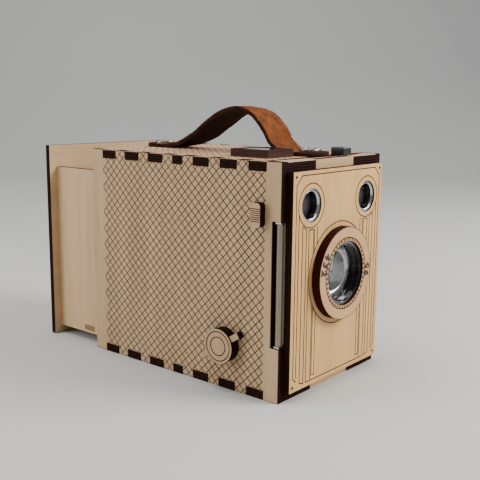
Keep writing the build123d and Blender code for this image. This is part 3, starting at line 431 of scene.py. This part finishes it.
def latticePanel(outline, holes, pattern, firstTip, thickness):
    uLow, uHigh, vLow, vHigh = outline
    bm = bmesh.new()
    bmesh.ops.create_grid(bm, x_segments=1, y_segments=1, size=0.5)
    centre = Vector(((uLow + uHigh) / 2, (vLow + vHigh) / 2, -latticeStyle["lineDepth"]))
    bmesh.ops.scale(bm, verts=bm.verts, vec=(uHigh - uLow, vHigh - vLow, 1))
    bmesh.ops.translate(bm, verts=bm.verts, vec=centre)
    for low, high in {(hole[0], hole[1]) for hole in holes}:
        cutAcross(bm, bm.faces[:], (low, 0, 0), axisX)
        cutAcross(bm, bm.faces[:], (high, 0, 0), axisX)
    for low, high in {(hole[2], hole[3]) for hole in holes}:
        cutAcross(bm, bm.faces[:], (0, low, 0), axisY)
        cutAcross(bm, bm.faces[:], (0, high, 0), axisY)
    inside = []
    for face in bm.faces:
        middle = face.calc_center_median()
        if any(hole[0] < middle.x < hole[1] and hole[2] < middle.y < hole[3] for hole in holes):
            inside.append(face)
    bmesh.ops.delete(bm, geom=inside, context="FACES")
    start, end = pattern
    cutAcross(bm, bm.faces[:], (start, 0, 0), axisX)
    cutAcross(bm, bm.faces[:], (end, 0, 0), axisX)
    pitch = latticeStyle["pitch"]
    reach = int((end - start + vHigh - vLow) / pitch) + 2
    for direction in ((1, 1, 0), (-1, 1, 0)):
        for index in range(-reach, reach):
            within = [face for face in bm.faces if start < face.calc_center_median().x < end]
            cutAcross(bm, within, (start, firstTip + index * pitch, 0), direction)
    straight = []
    for edge in bm.edges:
        run = edge.verts[1].co - edge.verts[0].co
        if len(edge.link_faces) == 2 and min(abs(run.x), abs(run.y)) < tiny:
            straight.append(edge)
    bmesh.ops.dissolve_edges(bm, edges=straight, use_verts=False)
    bm.faces.ensure_lookup_table()
    bm.normal_update()
    if bm.faces[0].normal.z < 0:
        bmesh.ops.reverse_faces(bm, faces=bm.faces)
    cells = [face for face in bm.faces if face.calc_area() > latticeStyle["leastCell"]]
    bmesh.ops.inset_individual(bm, faces=cells, thickness=latticeStyle["lineHalf"],
                               depth=latticeStyle["lineDepth"], use_even_offset=True)
    rim = [edge for edge in bm.edges if len(edge.link_faces) == 1]
    walls = bmesh.ops.extrude_edge_only(bm, edges=rim)["geom"]
    lower = [part for part in walls if isinstance(part, bmesh.types.BMVert)]
    bmesh.ops.translate(bm, verts=lower, vec=(0, 0, latticeStyle["lineDepth"] - thickness))
    lowerRim = [part for part in walls if isinstance(part, bmesh.types.BMEdge) and len(part.link_faces) == 1]
    bmesh.ops.triangle_fill(bm, edges=lowerRim, use_beauty=True, use_dissolve=False)
    return bm


def placePanel(bm, alongU, alongV, alongW, origin):
    matrix = Matrix((alongU, alongV, alongW)).transposed().to_4x4()
    matrix.translation = origin
    bmesh.ops.transform(bm, matrix=matrix, verts=bm.verts)
    bmesh.ops.recalc_face_normals(bm, faces=bm.faces)


sideLow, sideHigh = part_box("left_side_panel")
ply = sideHigh.x - sideLow.x
bodyLength = (sideLow.y, sideHigh.y)
bodyHeight = sideHigh.z
fingers = fingerSpans(*bodyLength)
patternSpan = (sideLow.y + latticeStyle["start"], sideHigh.y - latticeStyle["start"] + 0.1 * mm)
sideOutline = (sideLow.y, sideHigh.y, 0.0, bodyHeight)
tabHoles = [(low, high, 0.0, ply) for low, high in fingers]
tabHoles += [(low, high, bodyHeight - ply, bodyHeight) for low, high in fingers]
notchDepth = 4.5 * mm
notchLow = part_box("lower_roller_bearing")[0].z
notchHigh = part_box("upper_roller_bearing")[1].z
notch = (sideLow.y, sideLow.y + notchDepth, notchLow, notchHigh)

leftPanel = latticePanel(sideOutline, tabHoles + [notch], patternSpan, latticeStyle["lowest"], ply)
placePanel(leftPanel, axisY, axisZ, minusX, (sideLow.x, 0, 0))
addPiece("engravedLeftSide", leftPanel, ["leftPly"], "camera_body", "birch_ply", "left_side_panel")

windowLow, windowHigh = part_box("side_finder_glass")
sideWindow = (windowLow.y, windowHigh.y, windowLow.z, windowHigh.z)
rightPanel = latticePanel(sideOutline, tabHoles + [sideWindow], patternSpan, latticeStyle["lowest"], ply)
placePanel(rightPanel, axisY, axisZ, axisX, (sideFace, 0, 0))
addPiece("engravedRightSide", rightPanel, ["rightPly"], "camera_body", "birch_ply", "right_side_panel")

boardTab = 15.5 * mm
sideIn = sideFace - ply
gaps = spansBetween(fingers, *bodyLength)
topHoles = [(low, high, -sideFace, -sideIn) for low, high in gaps]
topHoles += [(low, high, sideIn, sideFace) for low, high in gaps]
topHoles.append((sideLow.y, sideLow.y + ply, -boardTab, boardTab))
windowLow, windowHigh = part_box("top_finder_glass")
topHoles.append((windowLow.y, windowHigh.y, windowLow.x, windowHigh.x))
buttonLow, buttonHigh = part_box("top_button")
buttonFit = 0.2 * mm
flange = 1.0 * mm
topHoles.append((buttonLow.y - buttonFit, buttonHigh.y + buttonFit,
                 buttonLow.x + flange - buttonFit, buttonHigh.x - flange + buttonFit))
topOutline = (sideLow.y, sideHigh.y, -sideFace, sideFace)
topPanel = latticePanel(topOutline, topHoles, patternSpan, 0.0, ply)
placePanel(topPanel, axisY, axisX, axisZ, (0, 0, bodyHeight))
addPiece("engravedTop", topPanel, ["topPly"], "camera_body", "birch_ply", "top_panel")
print("engraved panels")


# carrying strap: a leather strip that lies flat under its rings and arches between them
strapStyle = {
    "darkShare": 0.115,          # of the length at each tip, coloured dark
    "width": 18.0 * mm,
    "thickness": 1.9 * mm,
    "lying": 1.0 * mm,           # middle line above the top where the strap lies flat
    "lift": 9.0 * mm,            # from a ring's centre to where the arch leaves the top
    "twist": 0.20,               # radians, the rear half leans away
    "twistRange": (-0.35, 1.25),  # shares of the twist at the front and rear foot
    "raisedFrom": 2.0 * mm,      # height where twist and waves begin
    "raisedOver": 12.0 * mm,     # further height over which they grow to the full
    "cup": 0.3 * mm,             # rise of the middle over the edges
    "waviness": 0.35 * mm,
    "waveScale": (9.0, 0.8),     # noise along and across
    "nap": 0.10 * mm,
    "napScale": 900.0,
    "napFrom": 1.5 * mm,         # height above which the nap is raised
    "rimBevel": 0.35 * mm,
    "steps": 240,
    "rows": 30,
    "pathSteps": 16,             # between two points of the arch
    "tipCrowding": 0.07,         # draws the steps towards the rounded tips
}
fuzzStyle = {
    "seed": 4,
    "count": 260,                # on each edge
    "along": (0.12, 0.86),
    "length": (0.3 * mm, 1.3 * mm),
    "root": (0.07 * mm, 0.2 * mm),
    "tip": 0.015 * mm,
    "lookAhead": 0.004,
}
# share of the way between the arch's feet, and height of the middle line above the top
archShape = (
    (0.0, 1.0), (0.094, 5.3), (0.138, 10.2), (0.183, 14.6), (0.255, 19.0), (0.368, 21.2),
    (0.490, 19.0), (0.627, 12.9), (0.695, 9.2), (0.764, 6.2), (0.880, 2.6), (1.0, 1.0),
)


def smoothPath(points, perSpan):
    route = []
    last = len(points) - 1
    for index in range(last):
        before = points[max(index - 1, 0)]
        start, end = points[index], points[index + 1]
        after = points[min(index + 2, last)]
        for step in range(perSpan):
            t = step / perSpan
            route.append(0.5 * ((2 * start) + (end - before) * t
                                + (2 * before - 5 * start + 4 * end - after) * t * t
                                + (3 * start - before - 3 * end + after) * t * t * t))
    route.append(points[last])
    return route


def evenPath(route, count):
    lengths = [0.0]
    for first, second in zip(route, route[1:]):
        lengths.append(lengths[-1] + (second - first).length)
    even = []
    index = 0
    for step in range(count + 1):
        target = lengths[-1] * step / count
        while index < len(route) - 2 and lengths[index + 1] < target:
            index += 1
        share = (target - lengths[index]) / max(lengths[index + 1] - lengths[index], tiny)
        even.append(route[index].lerp(route[index + 1], min(share, 1.0)))
    return even, lengths[-1]


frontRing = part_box("front_strap_ring")
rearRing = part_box("rear_strap_ring")
strapX = (frontRing[0].x + frontRing[1].x) / 2
frontEnd = (frontRing[0].y + frontRing[1].y) / 2
rearEnd = (rearRing[0].y + rearRing[1].y) / 2
footFront = frontEnd + strapStyle["lift"]
footRear = rearEnd - strapStyle["lift"]
halfWidth = strapStyle["width"] / 2
lying = bodyHeight + strapStyle["lying"]
routePoints = [Vector((frontEnd - halfWidth, lying)), Vector((frontEnd, lying))]
routePoints += [Vector((footFront + share * (footRear - footFront), bodyHeight + height * mm))
                for share, height in archShape]
routePoints += [Vector((rearEnd, lying)), Vector((rearEnd + halfWidth, lying))]
strapRoute, strapLength = evenPath(smoothPath(routePoints, strapStyle["pathSteps"]), strapStyle["steps"])
print("strap length in mm", round(strapLength / mm, 1))


# along runs from 0 to 1, across from -1 to 1, and level from the underside at -1 to the face at 1
def strapPoint(along, across, level):
    place = min(max(along, 0.0), 1.0) * strapStyle["steps"]
    index = min(int(place), strapStyle["steps"] - 1)
    point = strapRoute[index].lerp(strapRoute[index + 1], place - index)
    run = strapRoute[min(index + 2, strapStyle["steps"])] - strapRoute[max(index - 1, 0)]
    run.normalize()
    height = point.y - bodyHeight - strapStyle["raisedFrom"]
    raised = min(max(height, 0.0) / strapStyle["raisedOver"], 1.0)
    rear = min(max((point.x - footFront) / (footRear - footFront), 0.0), 1.0)
    frontShare, rearShare = strapStyle["twistRange"]
    lean = strapStyle["twist"] * raised * (frontShare + rear * (rearShare - frontShare))
    fromEnd = min(along, 1.0 - along) * strapLength
    half = halfWidth
    if fromEnd < halfWidth:
        half = math.sqrt(max(halfWidth ** 2 - (halfWidth - fromEnd) ** 2, 0.0))
    side = across * half
    waveAlong, waveAcross = strapStyle["waveScale"]
    wave = noise.noise(Vector((along * waveAlong, across * waveAcross, 3.0))) * strapStyle["waviness"]
    cup = strapStyle["cup"] * (1 / 3 - across * across)
    out = level * strapStyle["thickness"] / 2 + (wave + cup) * raised
    normal = Vector((-run.y, run.x))
    x = strapX + side * math.cos(lean) + out * math.sin(lean)
    drop = out * math.cos(lean) - side * math.sin(lean)
    return Vector((x, point.x + normal.x * drop, point.y + normal.y * drop))


def buildStrap():
    bm = bmesh.new()
    bmesh.ops.create_grid(bm, x_segments=strapStyle["steps"], y_segments=strapStyle["rows"], size=0.5)
    lower = bm.faces[:]
    grown = bmesh.ops.extrude_face_region(bm, geom=lower, use_keep_orig=True)["geom"]
    upper = {part for part in grown if isinstance(part, bmesh.types.BMVert)}
    for face in bm.faces:
        flat = all(vert in upper for vert in face.verts)
        under = not any(vert in upper for vert in face.verts)
        darkTip = abs(face.calc_center_median().x) > 0.5 - strapStyle["darkShare"]
        face.material_index = 0 if flat and not darkTip else (1 if under else 2)
        face.smooth = True
    for vert in bm.verts:
        # more rows near the tips keep the rounded ends round
        share = vert.co.x + 0.5
        along = share - strapStyle["tipCrowding"] * math.sin(2 * math.pi * share)
        vert.co = strapPoint(along, vert.co.y * 2.0, 1.0 if vert in upper else -1.0)
    bmesh.ops.remove_doubles(bm, verts=bm.verts, dist=0.02 * mm)
    bmesh.ops.recalc_face_normals(bm, faces=bm.faces)
    rims = []
    for edge in bm.edges:
        kinds = {face.material_index for face in edge.link_faces}
        if 2 in kinds and len(kinds) > 1:
            rims.append(edge)
    bmesh.ops.bevel(bm, geom=rims, offset=strapStyle["rimBevel"], offset_type="OFFSET", affect="EDGES",
                    segments=2, profile=0.5, material=-1, clamp_overlap=True)
    bm.normal_update()
    for vert in bm.verts:
        if vert.co.z - bodyHeight > strapStyle["napFrom"]:
            vert.co += vert.normal * noise.noise(vert.co * strapStyle["napScale"]) * strapStyle["nap"]
    return bm


addPiece("leatherStrap", buildStrap(), ["suedeFace", "suedeFlesh", "suedeCut"], "camera_body",
         "strap_leather", "carrying_strap")


def buildFuzz():
    random.seed(fuzzStyle["seed"])
    bm = bmesh.new()
    for side in (-1.0, 1.0):
        for _ in range(fuzzStyle["count"]):
            along = random.uniform(*fuzzStyle["along"])
            base = strapPoint(along, side, random.uniform(0.2, 1.0))
            ahead = strapPoint(along + fuzzStyle["lookAhead"], side, 1.0) - strapPoint(along, side, 1.0)
            up = (strapPoint(along, side, 1.0) - strapPoint(along, side, -1.0)).normalized()
            out = (strapPoint(along, side, 0.0) - strapPoint(along, 0.0, 0.0)).normalized()
            length = random.uniform(*fuzzStyle["length"])
            lean = out * random.uniform(0.2, 0.9) + up * random.uniform(0.0, 0.9)
            lean += ahead.normalized() * random.uniform(-0.6, 0.6)
            tip = base + lean.normalized() * length
            tuft = bmesh.ops.create_cone(bm, segments=3, radius1=random.uniform(*fuzzStyle["root"]),
                                         radius2=fuzzStyle["tip"], depth=length, cap_ends=True)["verts"]
            turn = (tip - base).to_track_quat("Z", "Y").to_matrix().to_4x4()
            turn.translation = (base + tip) / 2
            bmesh.ops.transform(bm, matrix=turn, verts=tuft)
    return bm


addPiece("strapFuzz", buildFuzz(), ["suedeFace"], "camera_body", "strap_leather")
print("carrying strap")


# marks on the focus ring: a ring of ticks, and distances at their angles in degrees
markStyle = {
    "proud": 0.05 * mm,
    "tickCount": 44,
    "tickRadius": 15.75 * mm,
    "tickLength": 1.3 * mm,
    "tickWidth": 1.0 * mm,
    "digitSize": 5.4 * mm,
    "digitRadius": 18.7 * mm,
    "weight": 0.34 * mm,
    "digits": (("2", 171), ("3", 160), ("4", 148), ("5", 2), ("9", -9)),
}


def buildTicks():
    bm = bmesh.new()
    count = markStyle["tickCount"]
    size = (markStyle["tickLength"], markStyle["proud"] * 2, markStyle["tickWidth"])
    tick = bmesh.ops.create_cube(bm, size=1.0)["verts"]
    bmesh.ops.scale(bm, verts=tick, vec=size)
    bmesh.ops.translate(bm, verts=tick, vec=(ringAxis.x + markStyle["tickRadius"], ringLow.y, ringAxis.z))
    bmesh.ops.spin(bm, geom=bm.faces[:] + bm.edges[:] + bm.verts[:], cent=ringAxis, axis=axisY,
                   angle=2 * math.pi * (1 - 1 / count), steps=count - 1, use_duplicate=True)
    return bm


addPiece("ringTicks", buildTicks(), ["scorch"], "focus_ring", "birch_ply")


def buildDigits():
    bm = bmesh.new()
    for text, degrees in markStyle["digits"]:
        curve = bpy.data.curves.new("digit", "FONT")
        curve.body = text
        curve.size = markStyle["digitSize"]
        curve.align_x = "CENTER"
        curve.align_y = "CENTER"
        curve.extrude = markStyle["proud"]
        curve.offset = markStyle["weight"]
        curve.resolution_u = 3
        holder = bpy.data.objects.new("digit", curve)
        scene.collection.objects.link(holder)
        bpy.context.view_layer.update()
        evaluated = holder.evaluated_get(bpy.context.evaluated_depsgraph_get())
        mesh = bpy.data.meshes.new_from_object(evaluated)
        angle = math.radians(degrees)
        spot = ringAxis + Vector((math.cos(angle), 0, math.sin(angle))) * markStyle["digitRadius"]
        spot.y = ringLow.y
        mesh.transform(Matrix.Translation(spot) @ Matrix.Rotation(-angle + math.pi / 2 + math.pi, 4, "Y")
                       @ Matrix.Rotation(math.pi / 2, 4, "X"))
        bm.from_mesh(mesh)
        bpy.data.objects.remove(holder)
        bpy.data.meshes.remove(mesh)
    bmesh.ops.remove_doubles(bm, verts=bm.verts, dist=tiny)
    return bm


addPiece("ringDigits", buildDigits(), ["ink"], "focus_ring", "birch_ply")


# stepped baffles behind the front glass, each a flat black ledge and a bright slope
baffleStyle = {
    "count": 5,
    "outer": 13.4 * mm,
    "wall": 0.5 * mm,
    "ledge": 0.54 * mm,        # how much further in each baffle starts
    "slope": 0.5 * mm,
    "slopeShare": 0.45,        # of a baffle's depth
    "frontGap": 1.5 * mm,
    "rearGap": 0.1 * mm,
}


def spunProfile(points, axisPoint):
    bm = bmesh.new()
    verts = [bm.verts.new((axisPoint.x + radius, y, axisPoint.z)) for radius, y in points]
    edges = [bm.edges.new((first, second)) for first, second in zip(verts, verts[1:] + verts[:1])]
    bmesh.ops.spin(bm, geom=verts + edges, cent=axisPoint, axis=axisY, angle=2 * math.pi, steps=72,
                   use_merge=True)
    bmesh.ops.recalc_face_normals(bm, faces=bm.faces)
    return bm


def buildBaffles():
    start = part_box("front_lens")[1].y + baffleStyle["frontGap"]
    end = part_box("lens_barrel")[1].y - baffleStyle["rearGap"]
    step = (end - start) / baffleStyle["count"]
    points = [(baffleStyle["outer"], end), (baffleStyle["outer"], start)]
    for index in range(baffleStyle["count"]):
        radius = baffleStyle["outer"] - baffleStyle["wall"] - index * baffleStyle["ledge"]
        near = start + index * step
        points.append((radius, near))
        points.append((radius - baffleStyle["slope"], near + step * baffleStyle["slopeShare"]))
    points.append((points[-1][0], end))
    bm = spunProfile(points, ringAxis)
    for face in bm.faces:
        face.smooth = True
        sloped = 0.15 < abs(face.normal.y) < 0.95
        face.material_index = 1 if sloped else 0
    for edge in bm.edges:
        first, second = edge.verts
        kinds = {face.material_index for face in edge.link_faces}
        edge.smooth = abs(first.co.y - second.co.y) > tiny or len(kinds) == 1
    return bm


addPiece("lensBaffles", buildBaffles(), ["blackGloss", "chrome"], "lens_cell", "black_plastic")


# polished rims inside the finder windows: radius, and depth behind the tube's front edge
bezelStyle = {
    "outer": 6.66 * mm,
    "front": 0.05 * mm,
    "back": 1.40 * mm,
    "hollow": ((6.25 * mm, 0.30 * mm), (5.95 * mm, 0.75 * mm), (5.80 * mm, 1.40 * mm)),
}


def buildBezel(tubeLow, tubeHigh):
    middle = Vector(((tubeLow.x + tubeHigh.x) / 2, 0, (tubeLow.z + tubeHigh.z) / 2))
    outline = [(bezelStyle["outer"], bezelStyle["front"])]
    outline += bezelStyle["hollow"]
    outline.append((bezelStyle["outer"], bezelStyle["back"]))
    bm = spunProfile([(radius, tubeLow.y + depth) for radius, depth in outline], middle)
    for face in bm.faces:
        face.smooth = face.calc_center_median().y < tubeLow.y + bezelStyle["back"] - tiny
    return bm


for side in ("left", "right"):
    bezel = buildBezel(*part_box(side + "_finder_tube"))
    addPiece(side + "FinderBezel", bezel, ["chrome"], "camera_body", "bright_steel")
print("lens details")


# floor and backdrop in one sweep, square to the camera's heading
cameraStyle = {
    "place": (-0.2961, -0.2495, 0.1313),
    "back": (-0.75826, -0.62661, 0.17998),      # direction from the scene to the camera
    "roll": 0.587,                              # degrees
    "lens": 57.45,
    "sensor": 36.0,
    "clipStart": 0.01,
}
stageStyle = {
    "wall": 1.5,                 # from the object to the backdrop
    "radius": 0.6,
    "bends": 16,
    "near": 1.6,
    "height": 2.2,
    "width": 6.0,
    "light": (0.60, 0.61, 0.605, 1),
    "lightest": (0.64, 0.645, 0.64, 1),
    "shade": (0.50, 0.515, 0.51, 1),
    "shadeShare": 0.85,
    "shadeAside": (0.3, -0.7),   # painted shade: the backdrop darkens towards the right
    "shadeHeight": (0.02, 0.2),
    "roughness": 0.8,
}


def paperMaterial(sideways):
    material, tree, shader = newMaterial("paperGrey")
    place = addNode(tree, "ShaderNodeTexCoord").outputs["Object"]
    cloud = streaks(tree, place, (3.0, 3.0, 3.0), 4.0)
    color = mixColors(tree, cloud, stageStyle["light"], stageStyle["lightest"])
    # painted shade: the colour darkens towards the right, on the wall but not on the floor
    aside = dotNode(tree, place, sideways)
    height = addNode(tree, "ShaderNodeSeparateXYZ", (("Vector", place),)).outputs["Z"]
    rightward = remap(tree, aside, *stageStyle["shadeAside"], 0.0, stageStyle["shadeShare"])
    upward = remap(tree, height, *stageStyle["shadeHeight"])
    shade = mathNode(tree, "MULTIPLY", rightward, upward)
    color = mixColors(tree, shade, color, stageStyle["shade"])
    tree.links.new(color, shader.inputs["Base Color"])
    shader.inputs["Roughness"].default_value = stageStyle["roughness"]
    return material


def buildStage():
    bm = bmesh.new()
    heading = Vector((-cameraStyle["back"][0], -cameraStyle["back"][1], 0)).normalized()
    sideways = Vector((-heading.y, heading.x, 0))
    wall, radius = stageStyle["wall"], stageStyle["radius"]
    profile = [(-stageStyle["near"], 0.0), (0.0, 0.0)]
    for index in range(stageStyle["bends"] + 1):
        angle = math.pi / 2 * index / stageStyle["bends"]
        profile.append((wall - radius + radius * math.sin(angle), radius - radius * math.cos(angle)))
    profile.append((wall, stageStyle["height"]))
    verts = [bm.verts.new(heading * along - sideways * stageStyle["width"] / 2 + Vector((0, 0, height)))
             for along, height in profile]
    edges = [bm.edges.new(pair) for pair in zip(verts, verts[1:])]
    moved = bmesh.ops.extrude_edge_only(bm, edges=edges)["geom"]
    bmesh.ops.translate(bm, verts=[part for part in moved if isinstance(part, bmesh.types.BMVert)],
                        vec=sideways * stageStyle["width"])
    bmesh.ops.recalc_face_normals(bm, faces=bm.faces)
    for face in bm.faces:
        face.smooth = True
    mesh = bpy.data.meshes.new("floorSweep")
    bm.to_mesh(mesh)
    bm.free()
    floor = bpy.data.objects.new("floorSweep", mesh)
    scene.collection.objects.link(floor)
    mesh.materials.append(paperMaterial(sideways))


buildStage()

# the card is a bright panel that only shows in polished surfaces
lightStyle = {
    "key": {"place": (0.40, -0.62, 0.55), "size": 0.45, "power": 9.6, "color": (1.0, 0.955, 0.89)},
    "side": {"place": (-0.52, 0.40, 0.26), "size": 0.35, "power": 1.9, "color": (1.0, 0.98, 0.95)},
    "top": {"place": (-0.2, 0.3, 1.5), "size": 1.2, "power": 15.0, "color": (1.0, 0.98, 0.97)},
    "card": {"place": (0.85, -0.25, 0.72), "size": 0.5, "power": 9.0, "color": (1.0, 1.0, 1.0)},
}
lightAim = Vector((0, 0, 0.05))


def addLight(name, style):
    lamp = bpy.data.lights.new(name, "AREA")
    lamp.shape = "SQUARE"
    lamp.size = style["size"]
    lamp.energy = style["power"]
    lamp.color = style["color"]
    holder = bpy.data.objects.new(name, lamp)
    scene.collection.objects.link(holder)
    holder.visible_camera = False
    holder.visible_diffuse = name != "card"
    holder.location = style["place"]
    holder.rotation_mode = "QUATERNION"
    holder.rotation_quaternion = (lightAim - Vector(style["place"])).to_track_quat("-Z", "Y")


for name, style in lightStyle.items():
    addLight(name, style)

worldStyle = {"color": (0.62, 0.64, 0.66, 1), "strength": 0.42}
world = bpy.data.worlds.new("studio")
scene.world = world
world.use_nodes = True
world.node_tree.nodes["Background"].inputs["Color"].default_value = worldStyle["color"]
world.node_tree.nodes["Background"].inputs["Strength"].default_value = worldStyle["strength"]

back = Vector(cameraStyle["back"]).normalized()
right = Vector(axisZ).cross(back).normalized()
up = back.cross(right)
turn = math.radians(cameraStyle["roll"])
rolledRight = right * math.cos(turn) + up * math.sin(turn)
rolledUp = up * math.cos(turn) - right * math.sin(turn)
cameraData = bpy.data.cameras.new("camera")
cameraData.sensor_width = cameraStyle["sensor"]
cameraData.lens = cameraStyle["lens"]
cameraData.clip_start = cameraStyle["clipStart"]
camera = bpy.data.objects.new("camera", cameraData)
scene.collection.objects.link(camera)
pose = Matrix((rolledRight, rolledUp, back)).transposed().to_4x4()
pose.translation = cameraStyle["place"]
camera.matrix_world = pose
scene.camera = camera
print("stage, lights and camera")
